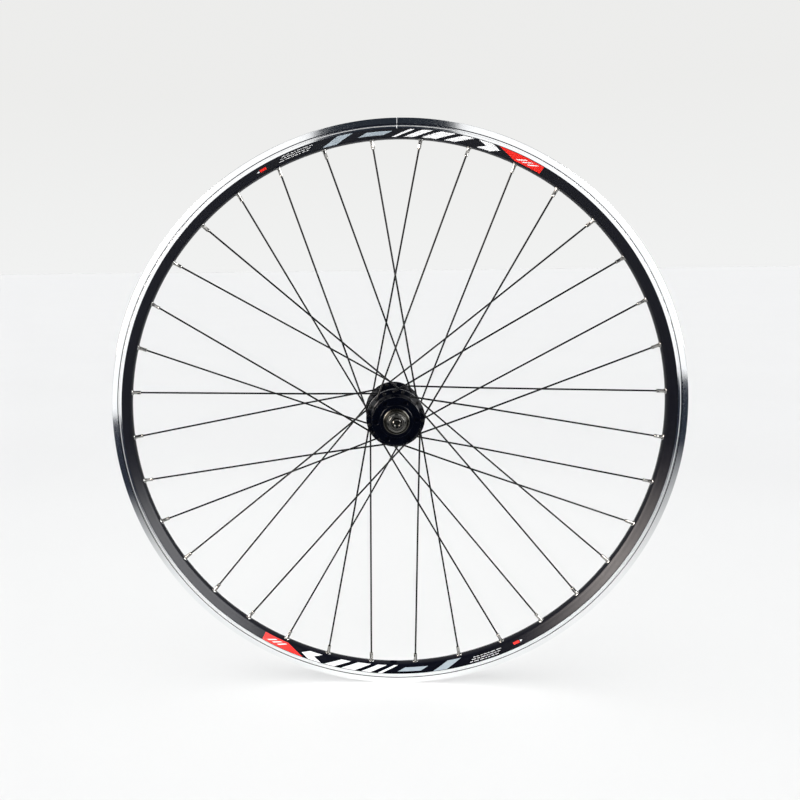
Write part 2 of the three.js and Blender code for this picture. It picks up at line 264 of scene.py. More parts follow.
# ---- finishes ----
class Graph:
    """A material's node tree, with short calls to add and join nodes."""

    def __init__(self, name):
        self.material = bpy.data.materials.new(name)
        self.material.use_nodes = True
        self.tree = self.material.node_tree
        self.shader = self.tree.nodes["Principled BSDF"]
        self.place = self.tree.nodes.new("ShaderNodeTexCoord").outputs["Object"]

    def node(self, kind, **values):
        node = self.tree.nodes.new("ShaderNode" + kind)
        for key, value in values.items():
            setattr(node, key, value)
        return node

    def join(self, source, target):
        self.tree.links.new(source, target)

    def noise(self, size, detail=3.0):
        """Noise with features of about the given size in millimetres."""
        node = self.node("TexNoise")
        node.inputs["Scale"].default_value = 1 / (size * MM)
        node.inputs["Detail"].default_value = detail
        self.join(self.place, node.inputs["Vector"])
        return node.outputs["Fac"]

    def span(self, value, low, high):
        """A 0.3 to 0.7 value, the usual reach of noise, stretched from low to high."""
        node = self.node("MapRange")
        node.inputs["From Min"].default_value = 0.3
        node.inputs["From Max"].default_value = 0.7
        node.inputs["To Min"].default_value = low
        node.inputs["To Max"].default_value = high
        self.join(value, node.inputs["Value"])
        return node.outputs["Result"]

    def blend(self, value, first, second):
        node = self.node("Mix", data_type="RGBA")
        self.join(value, node.inputs["Factor"])
        node.inputs["A"].default_value = (*first, 1)
        node.inputs["B"].default_value = (*second, 1)
        return node.outputs["Result"]

    def bump(self, height, depth):
        """Relief of the given depth in millimetres, added over any bump made before."""
        node = self.node("Bump")
        node.inputs["Distance"].default_value = depth * MM
        node.inputs["Strength"].default_value = 1
        self.join(height, node.inputs["Height"])
        normal = self.shader.inputs["Normal"]
        if normal.is_linked:
            self.join(normal.links[0].from_socket, node.inputs["Normal"])
        self.join(node.outputs["Normal"], normal)

    def rings(self, pitch):
        """Fine circles about the axle, as a lathe tool leaves them."""
        node = self.node("TexWave", wave_type="RINGS", rings_direction="Y")
        node.inputs["Scale"].default_value = math.pi / (10 * pitch * MM)
        node.inputs["Distortion"].default_value = 0.4
        node.inputs["Detail"].default_value = 1.0
        self.join(self.place, node.inputs["Vector"])
        return node.outputs["Fac"]


def finish(name, light, dark, roughness, patch=6.0, metallic=0.0, specular=0.5, grain=0.4,
           grain_depth=0.003, turned=None):
    """A finish that drifts between two colours and two roughnesses, with a fine grain.

    patch and grain are the sizes of the drifts and of the grain, in millimetres.
    turned is (pitch of the tool marks, their depth, anisotropy) for a part made on a lathe.
    """
    graph = Graph(name)
    shader = graph.shader
    drift = graph.span(graph.noise(patch), 0, 1)
    graph.join(graph.blend(drift, dark, light), shader.inputs["Base Color"])
    scuff = graph.span(graph.noise(patch / 5, 5.0), *roughness)
    graph.join(scuff, shader.inputs["Roughness"])
    shader.inputs["Metallic"].default_value = metallic
    shader.inputs["Specular IOR Level"].default_value = specular
    graph.bump(graph.noise(grain), grain_depth)
    if turned:
        pitch, depth, anisotropy = turned
        graph.bump(graph.rings(pitch), depth)
        shader.inputs["Anisotropic"].default_value = anisotropy
        shader.inputs["Anisotropic Rotation"].default_value = 0.25
        tangent = graph.node("Tangent", direction_type="RADIAL", axis="Y")
        graph.join(tangent.outputs["Tangent"], shader.inputs["Tangent"])
    return graph.material


RIM_BLACK = finish("rim_black", (0.0019, 0.0024, 0.0066), (0.0014, 0.0018, 0.0050), (0.22, 0.27), patch=14,
                   specular=0.16, grain=0.4, grain_depth=0.0006)
MACHINED = finish("machined_track", (0.93, 0.94, 0.94), (0.90, 0.91, 0.92), (0.08, 0.10), patch=18,
                  metallic=1.0, grain=0.6, grain_depth=0.0001, turned=(0.5, 0.0001, 0.5))
MACHINED_ROUGH = finish("machined_rough", (0.93, 0.94, 0.94), (0.88, 0.89, 0.90), (0.30, 0.36), patch=18,
                        metallic=1.0, grain=0.4, grain_depth=0.0006, turned=(0.25, 0.001, 0.3))
SLEEVE_METAL = finish("joint_sleeve", (0.76, 0.77, 0.78), (0.66, 0.67, 0.69), (0.30, 0.42), metallic=1.0)
SPOKE_BLACK = finish("spoke_black", (0.0040, 0.0040, 0.0045), (0.0025, 0.0025, 0.0028), (0.22, 0.32), patch=3,
                     specular=0.15, grain=0.25, grain_depth=0.002)
NIPPLE_SILVER = finish("nipple_silver", (0.40, 0.395, 0.38), (0.28, 0.27, 0.25), (0.08, 0.18), patch=1.5,
                       metallic=1.0, grain=0.3, grain_depth=0.002)
EYELET_STEEL = finish("eyelet_steel", (0.42, 0.42, 0.41), (0.30, 0.30, 0.29), (0.08, 0.18), patch=2,
                      metallic=1.0, grain=0.3, grain_depth=0.002)
HUB_BLACK = finish("hub_black", (0.0007, 0.0011, 0.0030), (0.0004, 0.0007, 0.0020), (0.05, 0.07), patch=8,
                   specular=0.50, grain=0.3, grain_depth=0.0006, turned=(0.35, 0.0002, 0.2))
CAP_STEEL = finish("cap_steel", (0.068, 0.067, 0.059), (0.040, 0.039, 0.034), (0.20, 0.28), patch=2.5,
                   metallic=1.0, grain=0.3, grain_depth=0.001, turned=(0.45, 0.0003, 0.2))
AXLE_STEEL = finish("axle_steel", (0.15, 0.148, 0.138), (0.08, 0.079, 0.072), (0.10, 0.16), patch=1.6,
                    metallic=1.0, grain=0.25, grain_depth=0.001, turned=(0.4, 0.0003, 0.2))
# painted shade: a near-black finish for the inside of the axle's bore, standing in for the shade in the hole
BORE_PAINTED_SHADE = finish("bore_painted_shade", (0.010, 0.010, 0.009), (0.005, 0.005, 0.0045), (0.45, 0.60), patch=2,
                   specular=0.3)
BEARING_STEEL = finish("bearing_steel", (0.82, 0.82, 0.83), (0.72, 0.72, 0.74), (0.08, 0.16), patch=2,
                       metallic=1.0)
DECAL_FILM = finish("decal_film", (0.0021, 0.0026, 0.0060), (0.0016, 0.0020, 0.0046), (0.18, 0.23), patch=14,
                    specular=0.18, grain=0.5, grain_depth=0.0005)
DECAL_RED = finish("decal_red", (0.80, 0.015, 0.008), (0.75, 0.012, 0.006), (0.28, 0.34), specular=0.25,
                   grain_depth=0.0005)
DECAL_WHITE = finish("decal_white", (0.84, 0.84, 0.84), (0.80, 0.80, 0.81), (0.28, 0.34), specular=0.25,
                     grain_depth=0.0005)
DECAL_GREY = finish("decal_grey", (0.33, 0.38, 0.42), (0.30, 0.35, 0.39), (0.28, 0.34), specular=0.25,
                    grain_depth=0.0005)


# ---- rim ----
def curve(points, steps):
    """A smooth line through points (Catmull-Rom), straight on at both ends."""
    ends = [points[0] * 2 - points[1], *points, points[-1] * 2 - points[-2]]
    line = []
    for a, b, c, d in zip(ends, ends[1:], ends[2:], ends[3:]):
        for step in range(steps):
            t = step / steps
            line.append((b * 2 + (c - a) * t + (a * 2 - b * 5 + c * 4 - d) * t**2
                         + (b * 3 - a - c * 3 + d) * t**3) / 2)
    return [*line, points[-1]]


# the painted wall from one brake track to the other, over the crest that the nipples come out of
wall_half = [Vector(point) for point in SIDEWALL]
wall_points = [*wall_half, Vector((CREST_R, 0)), *(Vector((p.x, -p.y)) for p in reversed(wall_half))]
WALL = curve(wall_points, 5)


def wall_at(radius, lift):
    """The (radius, y) point on the right side's painted wall at a radius, lifted off the surface."""
    for a, b in zip(WALL, WALL[1:]):
        if a.x >= radius >= b.x:
            share = (a.x - radius) / (a.x - b.x)
            out = Vector((b.y - a.y, a.x - b.x)).normalized()
            return a.lerp(b, share) + out * lift
    return WALL[len(WALL) // 2].copy()


def crest_at(y):
    """The radius of the rim's innermost surface at a distance from the mid-plane."""
    for a, b in zip(WALL, WALL[1:]):
        if a.y >= y >= b.y:
            return a.lerp(b, (a.y - y) / (a.y - b.y)).x
    return WALL[0].x


BEAD_SEAT_R = 311.0
LIP_CHAMFER = 0.4
ROUGH_INNER_R = 308.5  # a coarser band of the track, which stays light where the rest mirrors the dark
ROUGH_OUTER_R = 309.4
TRACK_STEP = 0.12  # the machined track is cut this far below the painted wall
WEAR_GROOVE = 0.45
TRACK_Y = RIM_HALF_WIDTH - TRACK_STEP
FLAT_START = 0.25  # a flat's own shading starts this far from its corners
tyre_side = rounded([
    (TRACK_INNER_R, TRACK_Y, 0.05),
    (TRACK_INNER_R + FLAT_START, TRACK_Y, 0.0),
    (ROUGH_INNER_R, TRACK_Y, 0.0),
    (ROUGH_OUTER_R, TRACK_Y, 0.0),
    (WEAR_LINE_R - WEAR_GROOVE - FLAT_START, TRACK_Y, 0.0),
    (WEAR_LINE_R - WEAR_GROOVE, TRACK_Y, 0.08),
    (WEAR_LINE_R, TRACK_Y - WEAR_GROOVE, 0.1),
    (WEAR_LINE_R + WEAR_GROOVE, TRACK_Y, 0.08),
    (WEAR_LINE_R + WEAR_GROOVE + FLAT_START, TRACK_Y, 0.0),
    (RIM_R - LIP_CHAMFER - FLAT_START, TRACK_Y, 0.0),
    (RIM_R - LIP_CHAMFER, TRACK_Y, 0.2),
    (RIM_R, RIM_HALF_WIDTH - LIP_CHAMFER, 0.4),
    (RIM_R, 9.9, 0.6),
    (RIM_R - 1.6, 9.3, 0.6),
    (RIM_R - 2.9, 10.3, 0.8),
    (BEAD_SEAT_R, 10.4, 0.8),
    (BEAD_SEAT_R, 8.2, 1.0),
    (307.8, 5.6, 2.0),
    (307.8, 0, 0.0),
], 0.3)
rim_half = tyre_side[:-1]
rim_outline = [tuple(p) for p in reversed(WALL)] + rim_half + mirrored(rim_half)
CAVITY_HALF = [(299.2, 3.6, 1.0), (304.6, 8.8, 1.2), (309.4, 10.4, 0.5), (306.3, 5.0, 1.0)]
cavity = rounded([*CAVITY_HALF, *mirrored(CAVITY_HALF)], 1.0)

SEAM_DEPTH = 0.06
SEAM_HALF_WIDTH = 0.16
SEAM_EDGE = 0.1  # the rings this close to the groove keep its shading from spreading
RIM_STEPS = 360
CAVITY_STEPS = 120


def seamed_ring(outline):
    """The rim's section carried round the wheel, with a fine groove where its ends meet."""
    inner = []
    for i, (r, y) in enumerate(outline):
        a, b = Vector(outline[i - 1]), Vector(outline[(i + 1) % len(outline)])
        side = (b - a).normalized()
        inner.append((r - side.y * SEAM_DEPTH, y + side.x * SEAM_DEPTH))
    area = sum(a[0] * b[1] - b[0] * a[1] for a, b in zip(outline, outline[1:] + outline[:1]))
    if area < 0:
        inner = [(2 * r - p, 2 * y - q) for (r, y), (p, q) in zip(outline, inner)]
    offsets = [side * (SEAM_HALF_WIDTH + guard) for side in (-1, 1) for guard in (0, SEAM_EDGE)]
    angles = [360 * i / RIM_STEPS for i in range(RIM_STEPS)]
    angles = sorted(angles + [SEAM_ANGLE + math.degrees(offset / RIM_R) for offset in offsets])
    return skin([
        [around(r, angle, y) for r, y in (inner if angle == SEAM_ANGLE else outline)] for angle in angles
    ], loop=True)


def drill(centre, direction, outline, sides=24):
    """A drill whose outline is (distance along it, radius)."""
    return tube([(centre + direction * along, radius) for along, radius in outline], sides)


def spoke_path(i):
    """Spoke i's flange and side, rim and hub angles, bend corner and last crossing."""
    flange_y, outward = (LEFT_FLANGE_Y, -1) if i % 2 else (RIGHT_FLANGE_Y, 1)
    lean = (1, -1, -1, 1)[i % 4]
    rim_angle = FIRST_SPOKE_ANGLE + 360 * i / SPOKES
    hub_angle = rim_angle + lean * CROSS_ANGLE
    face = outward * lean
    corner = around(SPOKE_CIRCLE_R, hub_angle, flange_y + face * (FLANGE_HALF_THICKNESS + ELBOW))
    rim_hole = around(CREST_R, rim_angle)
    along = rim_hole - corner
    ray = around(1, hub_angle - lean * LAST_CROSSING_ANGLE)
    share = (corner.z * ray.x - corner.x * ray.z) / (along.x * ray.z - along.z * ray.x)
    crossing = corner + along * share
    crossing.y = flange_y * (1 - share) - face * CROSSING_SHIFT
    return {
        "flange_y": flange_y, "face": face, "rim_angle": rim_angle, "hub_angle": hub_angle,
        "corner": corner, "crossing": crossing, "rim_hole": rim_hole,
        "end_direction": (rim_hole - crossing).normalized(),
    }


paths = [spoke_path(i) for i in range(SPOKES)]


TRACK_ROUNDING = 0.35  # faces this close to the track's plane, as at its rounded lip, are machined too


def rim_finish(face):
    """Which finish a face of the rim has: 0 painted, 1 machined, 2 machined more coarsely. The wear groove
    takes finish 0 as painted shade.
    """
    r = math.hypot(face.center.x, face.center.z) / MM
    y = abs(face.center.y) / MM
    on_track = TRACK_INNER_R - 0.02 < r < RIM_R - 0.05 and y > TRACK_Y - TRACK_ROUNDING
    # painted shade: the wear groove in the machined track gets the black wall finish, so it shows as a dark
    # line
    if not on_track or WEAR_LINE_R - WEAR_GROOVE < r < WEAR_LINE_R + WEAR_GROOVE:
        return 0
    return 2 if ROUGH_INNER_R < r < ROUGH_OUTER_R else 1


def build_rim():
    rim = new_object("rim_extrusion", seamed_ring(rim_outline))
    nipple_drill = [(-4, NIPPLE_HOLE_R), (4, NIPPLE_HOLE_R)]
    access_drill = [(304.5, ACCESS_HOLE_R), (309.5, ACCESS_HOLE_R)]
    valve_drill = [
        (290, VALVE_HOLE_R + 0.4), (CREST_R, VALVE_HOLE_R + 0.4), (CREST_R + 0.5, VALVE_HOLE_R),
        (312, VALVE_HOLE_R)]
    nipple_holes = [drill(path["rim_hole"], path["end_direction"], nipple_drill) for path in paths]
    access_holes = [drill(Vector(), around(1, path["rim_angle"]), access_drill) for path in paths]
    valve_hole = drill(Vector(), around(1, VALVE_ANGLE), valve_drill)
    cut(rim, lathe(cavity, CAVITY_STEPS), merged([*nipple_holes, *access_holes, valve_hole]))
    dress(rim, "wheel", [RIM_BLACK, MACHINED, MACHINED_ROUGH], ["rim"])
    for face in rim.data.polygons:
        face.material_index = rim_finish(face)


build_rim()

# ---- the insert at the rim's joint ----
SLEEVE_HALF = [(299.5, 3.0, 0.5), (304.9, 8.3, 0.8), (308.7, 9.5, 0.3), (305.8, 4.8, 0.8)]
SLEEVE_BORE_HALF = [(300.8, 2.4, 0.4), (304.4, 6.6, 0.6), (304.4, 4.4, 0.4)]
SLEEVE_HALF_ANGLE = 3.4
SLEEVE_HALF_STEPS = 6


def sleeve_run(half, extra):
    """A section carried along the rim's joint, past the insert's ends by some extra degrees."""
    outline = rounded([*half, *mirrored(half)], 0.5)
    step_angle = (SLEEVE_HALF_ANGLE + extra) / SLEEVE_HALF_STEPS
    steps = range(-SLEEVE_HALF_STEPS, SLEEVE_HALF_STEPS + 1)
    return skin([[around(r, SEAM_ANGLE + step_angle * step, y) for r, y in outline] for step in steps])


sleeve = new_object("joint_sleeve", sleeve_run(SLEEVE_HALF, 0))
cut(sleeve, sleeve_run(SLEEVE_BORE_HALF, 0.2))
dress(sleeve, "wheel", SLEEVE_METAL, ["rim_joint_sleeve"])


# ---- eyelets: rings rolled over the edges of the nipple holes, which follow the rim's crest ----
EYELET_PROFILE = rounded([(3.5, 0.0), (3.45, 0.35), (2.9, 0.62), (2.45, 0.3), (2.3, -1.6), (2.7, -1.6),
                          (2.78, -0.1)], 0.25, 2)


def eyelet(path, sides=32):
    rings = []
    for k in range(sides):
        turn = 2 * math.pi * k / sides
        ring = []
        for out, height in EYELET_PROFILE:
            y = out * math.sin(turn)
            angle = path["rim_angle"] + math.degrees(out * math.cos(turn) / CREST_R)
            ring.append(around(crest_at(y) - height, angle, y))
        rings.append(ring)
    return skin(rings, loop=True)


add("eyelets", merged([eyelet(path) for path in paths]), "wheel", EYELET_STEEL)


# ---- spokes and nipples ----
HEAD_PROFILE = [(0.0, 0.7), (0.08, 1.25), (0.28, 1.7), (0.55, SPOKE_HEAD_R), (0.8, 1.8), (1.15, 1.25)]
HEAD_HEIGHT = 1.0
HEAD_SEAT = 0.35  # the head's underside sits this far off the flange at its centre
NECK = 0.6  # the wire is straight for this far under its head
SETTLE = 7.0  # length over which a spoke bends where it crosses its partner
SPOKE_END = 5  # the wire ends inside its nipple, this far short of the rim's crest


def bezier(a, b, c, steps):
    return [a * (1 - t) ** 2 + b * 2 * t * (1 - t) + c * t**2 for t in (k / steps for k in range(steps + 1))]


def spoke_wire(path):
    up = Vector((0, path["face"], 0))
    corner, crossing, last = path["corner"], path["crossing"], path["end_direction"]
    first = (crossing - corner).normalized()
    seat = corner.copy()
    seat.y = path["flange_y"] - path["face"] * (FLANGE_HALF_THICKNESS + HEAD_SEAT)
    stations = [(seat + up * (along - HEAD_HEIGHT), radius) for along, radius in HEAD_PROFILE]
    span = (path["rim_hole"] - crossing).length
    line = [
        seat + up * NECK,
        *bezier(corner - up * ELBOW, corner, corner + first * ELBOW, 8),
        *bezier(crossing - first * SETTLE, crossing, crossing + last * SETTLE, 6),
        *(crossing + last * span * share for share in (0.3, 0.65)),
        path["rim_hole"] - last * SPOKE_END,
    ]
    return tube([*stations, *((point, SPOKE_R) for point in line)], 14)


# distances along the nipple from its tip, radii, and half the width over its wrench flats
NIPPLE_PROFILE = [
    (1.0, 1.06, None), (0.0, 1.15, None), (0.02, 1.5, None), (0.25, 1.8, None), (0.7, 1.95, None),
    (1.1, NIPPLE_R, 1.8), (1.4, NIPPLE_R, NIPPLE_FLAT), (6.2, NIPPLE_R, NIPPLE_FLAT), (6.6, NIPPLE_R, 1.85),
    (6.9, NIPPLE_R, None), (9.4, NIPPLE_R, None), (9.7, 2.12, None), (11.4, 2.15, None),
    (12.2, 3.0, None), (13.6, 3.1, None), (14.6, 2.6, None), (15.0, 1.6, None),
]
NIPPLE_SIDES = 24
NIPPLE_TWIST = 7  # a nipple's flats turn by this many times its angle round the rim, so that they differ


def nipple(path):
    """A nipple whose sections all lie square to it, so that the first may fold back into its bore."""
    along = path["end_direction"]
    tip = path["rim_hole"] + along * ((NIPPLE_TIP_R - CREST_R) / along.dot(path["rim_hole"].normalized()))
    across = Vector((0, 1, 0)) - along * along.y
    across.normalize()
    other = along.cross(across)
    twist = math.radians(path["rim_angle"] * NIPPLE_TWIST)
    rings = []
    for distance, radius, flat in NIPPLE_PROFILE:
        ring = []
        for k in range(NIPPLE_SIDES):
            turn = 2 * math.pi * k / NIPPLE_SIDES
            size = radius
            if flat:
                size = min(radius, flat / max(abs(math.cos(turn)), abs(math.sin(turn))))
            c, s = math.cos(turn + twist), math.sin(turn + twist)
            ring.append(tip + along * distance + across * (size * c) + other * (size * s))
        rings.append(ring)
    return skin(rings)


for number, path in enumerate(paths, start=1):
    add(f"spoke_wire_{number:02d}", spoke_wire(path), "wheel", SPOKE_BLACK,
        [f"spoke_{number:02d}"], sharp=50)
    add(f"nipple_{number:02d}", nipple(path), "wheel", NIPPLE_SILVER, sharp=28)


# ---- decals: black films on each side of the rim, printed with plain shapes ----
FILM_START = 59.8
FILM_END = 119.5
FILM_OUTER_R = 306.2
FILM_INNER_R = 298.8
FILM_LIFT = 0.02
FILM_TOP = 0.12
PRINT_TOP = 0.17
MARK_TOP = 0.22
SLAB_STEP = 0.5  # degrees round the wheel and millimetres along the radius


def slab(corners, bottom, top, side, turn):
    """A thin slab on the rim's wall between four (angle, radius) corners."""
    (a, ra), (b, rb), (c, rc), (d, rd) = corners
    columns = max(1, math.ceil(max(abs(b - a), abs(c - d)) / SLAB_STEP))
    rows = max(1, math.ceil(max(abs(rd - ra), abs(rc - rb)) / SLAB_STEP))

    def at(u, v, lift):
        angle = (a * (1 - u) + b * u) * (1 - v) + (d * (1 - u) + c * u) * v
        radius = (ra * (1 - u) + rb * u) * (1 - v) + (rd * (1 - u) + rc * u) * v
        spot = wall_at(radius, lift)
        return around(spot.x, angle + turn, side * spot.y)

    rings = []
    for i in range(columns + 1):
        over = [at(i / columns, j / rows, top) for j in range(rows + 1)]
        under = [at(i / columns, j / rows, bottom) for j in range(rows, -1, -1)]
        rings.append(over + under)
    return skin(rings)


# each shape is four (angle, radius) corners; slanted ends lean by LEAN degrees over the film's height
PRINT_OUTER_R = 306.0
PRINT_INNER_R = 299.0
FLAG_INNER_R = 299.2
LEAN = -3.6


def bar_shape(start, width, inner=PRINT_INNER_R, outer=PRINT_OUTER_R):
    """A slanted bar, given by the start and width of its inner edge in degrees."""
    lean = LEAN * (outer - inner) / (PRINT_OUTER_R - PRINT_INNER_R)
    return [(start, inner), (start + width, inner), (start + width + lean, outer), (start + lean, outer)]


def chevron_shapes(start, width):
    """An arrow head: two bars that meet at half the film's height."""
    middle = (PRINT_INNER_R + PRINT_OUTER_R) / 2
    point = start + LEAN / 2
    return [
        [(start, PRINT_INNER_R), (start + width, PRINT_INNER_R), (point + width, middle), (point, middle)],
        [(point, middle), (point + width, middle), (start + width, PRINT_OUTER_R), (start, PRINT_OUTER_R)],
    ]


LINES_START = 106.9
LINES_END = 113.6
LINE_HALF_WIDTH = 0.2
dice = random.Random(36)
thin_lines = []
for row, radius in enumerate((304.7, 303.0, 301.3)):
    angle = LINES_START + 0.5 * row
    low, high = radius - LINE_HALF_WIDTH, radius + LINE_HALF_WIDTH
    while angle < LINES_END:
        end = angle + dice.uniform(0.35, 1.1)
        thin_lines.append([(angle, low), (end, low), (end, high), (angle, high)])
        angle = end + dice.uniform(0.15, 0.3)

PRINTS = {
    "red": [
        [(59.9, FLAG_INNER_R), (65.6, FLAG_INNER_R), (69.6, PRINT_OUTER_R), (59.9, PRINT_OUTER_R)],
        [(117.2, 301.2), (118.6, 301.2), (118.6, 303.4), (117.2, 303.4)],
    ],
    "white": [
        *chevron_shapes(70.9, 2.9),
        bar_shape(78.2, 2.2),
        bar_shape(82.0, 3.0),
        bar_shape(86.5, 2.0),
        bar_shape(90.1, 0.9),
        *thin_lines,
        [(118.8, 301.5), (119.3, 302.2), (119.3, 302.4), (118.8, 303.1)],
    ],
    "grey": [
        bar_shape(92.6, 5.1, 301.0, 304.4),
        bar_shape(102.2, 3.0),
    ],
}
# narrow plain bars on the red flag
FLAG_MARKS = [bar_shape(62.6 + 1.2 * k, 0.5, 300.8, 304.2) for k in range(3)]
PRINT_FINISH = {"red": DECAL_RED, "white": DECAL_WHITE, "grey": DECAL_GREY}

for side_name, side in (("left", -1), ("right", 1)):
    for place, turn in (("upper", 0), ("lower", 180)):
        label = f"{side_name}_{place}"
        film = slab([(FILM_START, FILM_INNER_R), (FILM_END, FILM_INNER_R), (FILM_END, FILM_OUTER_R),
                     (FILM_START, FILM_OUTER_R)], FILM_LIFT, FILM_TOP, side, turn)
        add(f"{label}_film", film, "wheel", DECAL_FILM, [f"{label}_decal"], sharp=40)
        for colour, shapes in PRINTS.items():
            shells = [slab(shape, FILM_TOP, PRINT_TOP, side, turn) for shape in shapes]
            if colour == "white":
                shells += [slab(shape, PRINT_TOP, MARK_TOP, side, turn) for shape in FLAG_MARKS]
            add(f"{label}_print_{colour}", merged(shells), "wheel", PRINT_FINISH[colour],
                sharp=40)


# ---- hub shell ----
FLANGE_TAPER = 0.47
LEFT_FACE = LEFT_FLANGE_Y - FLANGE_HALF_THICKNESS
LEFT_BACK = LEFT_FLANGE_Y + FLANGE_HALF_THICKNESS
RIGHT_BACK = RIGHT_FLANGE_Y - FLANGE_HALF_THICKNESS
RIGHT_FACE = RIGHT_FLANGE_Y + FLANGE_HALF_THICKNESS
EDGE_FLAT = 0.7  # a flat's own shading starts this far from its corners
hub_outline = rounded([
    (14.4, -SHELL_END_Y, 0.15),
    (ROTOR_PILOT_R, -SHELL_END_Y, 0.15),
    (ROTOR_PILOT_R, ROTOR_FACE_Y, 0.1),
    (ROTOR_PILOT_R + EDGE_FLAT, ROTOR_FACE_Y, 0.0),
    (ROTOR_BOSS_R - EDGE_FLAT, ROTOR_FACE_Y, 0.0),
    (ROTOR_BOSS_R, ROTOR_FACE_Y, 0.12),
    (ROTOR_BOSS_R, LEFT_FACE, 0.8),
    (ROTOR_BOSS_R + 1.2, LEFT_FACE + FLANGE_TAPER * 0.2, 0.0),
    (FLANGE_R - EDGE_FLAT, LEFT_FACE + FLANGE_TAPER * 0.88, 0.0),
    (FLANGE_R, LEFT_FACE + FLANGE_TAPER, 0.4),
    (FLANGE_R, LEFT_BACK - FLANGE_TAPER, 0.4),
    (22, LEFT_BACK, 2.0),
    (16.5, -12, 6.0),
    (15, 0, 20.0),
    (15, 18, 20.0),
    (16.5, 26, 6.0),
    (22, RIGHT_BACK, 2.0),
    (FLANGE_R, RIGHT_BACK + FLANGE_TAPER, 0.5),
    (FLANGE_R, RIGHT_FACE - FLANGE_TAPER, 0.5),
    (20, RIGHT_FACE, 1.2),
    (ROTOR_PILOT_R, 38, 1.0),
    (ROTOR_PILOT_R, SHELL_END_Y, 0.5),
    (14.4, SHELL_END_Y, 0.3),
    (14.4, 36.5, 0.1),
    (12.6, 36.5, 0.2),
    (12.6, 29.5, 0.1),
    (9, 29.5, 0.3),
    (9, -29.5, 0.3),
    (12.6, -29.5, 0.1),
    (12.6, -36.5, 0.2),
    (14.4, -36.5, 0.1),
], 0.3, 4)


BOLT_PITCH = 0.8
BOLT_THREAD_DEPTH = 0.3
BOLT_HOLE_DEPTH = 9.5


def threaded_bore(angle):
    """A tapped rotor-bolt hole: a chamfer, the ridges of its thread, and a drill point."""
    outline = [(-1, ROTOR_BOLT_R + 0.4), (0, ROTOR_BOLT_R + 0.4), (0.45, ROTOR_BOLT_R)]
    for k in range(int((BOLT_HOLE_DEPTH - 1) / BOLT_PITCH)):
        start = 0.5 + k * BOLT_PITCH
        outline += [(start + BOLT_PITCH / 2, ROTOR_BOLT_R - BOLT_THREAD_DEPTH),
                    (start + BOLT_PITCH, ROTOR_BOLT_R)]
    outline.append((BOLT_HOLE_DEPTH, 0.3))
    return drill(around(ROTOR_BOLT_CIRCLE_R, angle, ROTOR_FACE_Y), Vector((0, 1, 0)), outline)


def spoke_bore(path):
    """A spoke's hole through its flange, countersunk at both ends."""
    half = FLANGE_HALF_THICKNESS
    outline = [
        (-half - 1, SPOKE_HOLE_R + 0.5), (-half, SPOKE_HOLE_R + 0.3), (-half + 0.45, SPOKE_HOLE_R - 0.2),
        (half - 0.45, SPOKE_HOLE_R - 0.2), (half, SPOKE_HOLE_R + 0.3), (half + 1, SPOKE_HOLE_R + 0.5)]
    return drill(around(SPOKE_CIRCLE_R, path["hub_angle"], path["flange_y"]), Vector((0, 1, 0)), outline, 20)


hub = new_object("hub_body", lathe(hub_outline, 180))
bores = [threaded_bore(FIRST_ROTOR_BOLT_ANGLE + 360 / ROTOR_BOLTS * k) for k in range(ROTOR_BOLTS)]
cut(hub, merged([*bores, *(spoke_bore(path) for path in paths)]))
dress(hub, "wheel", HUB_BLACK, ["hub_shell"], sharp=30)


# ---- bearings, caps and the axle's hardware, drawn for the right end ----
cup_outline = rounded([(12.3, 36.2), (11.7, 36.2), (11.7, 32.9, 1.5), (10.9, 31.2, 1.5), (9.4, 30.4),
                       (9.4, 29.8), (12.3, 29.8)], 0.15)
cap_outline = rounded([
    (14.1, 36.8), (14.1, 41.4, 0.4), (13.3, 42.0, 0.3), (12.6, 41.8, 0.5), (11.4, 41.35, 0.5),
    (10.4, 41.7, 0.4), (9.1, 41.8, 0.15), (9.1, 41.1, 0.1), (10.6, 41.0, 0.4), (13.2, 41.0, 0.4),
    (13.2, 36.8)], 0.15)
cone_outline = rounded([(THREAD_HOLE_R, 31.6), (5.8, 31.6), (6.2, 34.3, 2.0), (7.2, 35.8, 2.0), (8.3, 36.4),
                        (8.3, 42.9), (THREAD_HOLE_R, 42.9)], 0.2)
washer_outline = rounded([(THREAD_HOLE_R, 43.2), (8.0, 43.2), (8.0, 44.7), (THREAD_HOLE_R, 44.7)], 0.2)
locknut_outline = [
    (THREAD_HOLE_R, 45.0), (8.3, 45.0), (9.2, 45.5), (9.2, 47.6), (9.6, 47.6), (10.2, 47.7), (10.3, 47.9),
    (10.3, 48.6), (10.15, 48.8), (9.2, 49.2), (8.4, 49.4), (8.2, 49.6), (8.0, 49.9), (7.7, 50.0),
    (7.0, 50.0), (6.0, 50.0), (5.6, 49.7), (5.2, 49.4), (THREAD_HOLE_R, 48.9),
]
SERRATIONS = 48
SERRATION_DEPTH = 0.12
CONE_HALF_FLATS = 6.5


def triangle_wave(turns):
    """A wave that goes 0, 1, 0 over each whole turn."""
    share = turns % 1
    return 1 - abs(2 * share - 1)


def cone_shape(r, y, angle):
    """Two wrench flats at the cone's outer end."""
    if y > 39.5 and r > 6:
        r = min(r, CONE_HALF_FLATS / max(abs(math.cos(math.radians(angle))), 0.5))
    return r, y


def locknut_shape(r, y, angle):
    """Six wrench flats, and teeth on the face that grips the fork."""
    if y < 47.55 and r > 6:
        r = min(r, HEX_HALF_FLATS / math.cos(math.radians(angle % 60 - 30)))
    if y > 49.95:
        y -= SERRATION_DEPTH * triangle_wave(angle * SERRATIONS / 360)
    return r, y


def sphere(centre, radius, columns=24, rows=12):
    stations = []
    for row in range(rows + 1):
        turn = math.pi * row / rows
        stations.append([centre + Vector((
            radius * math.sin(turn) * math.cos(2 * math.pi * k / columns), -radius * math.cos(turn),
            radius * math.sin(turn) * math.sin(2 * math.pi * k / columns))) for k in range(columns)])
    return skin(stations[1:-1])


CAGE_HALF = 0.7


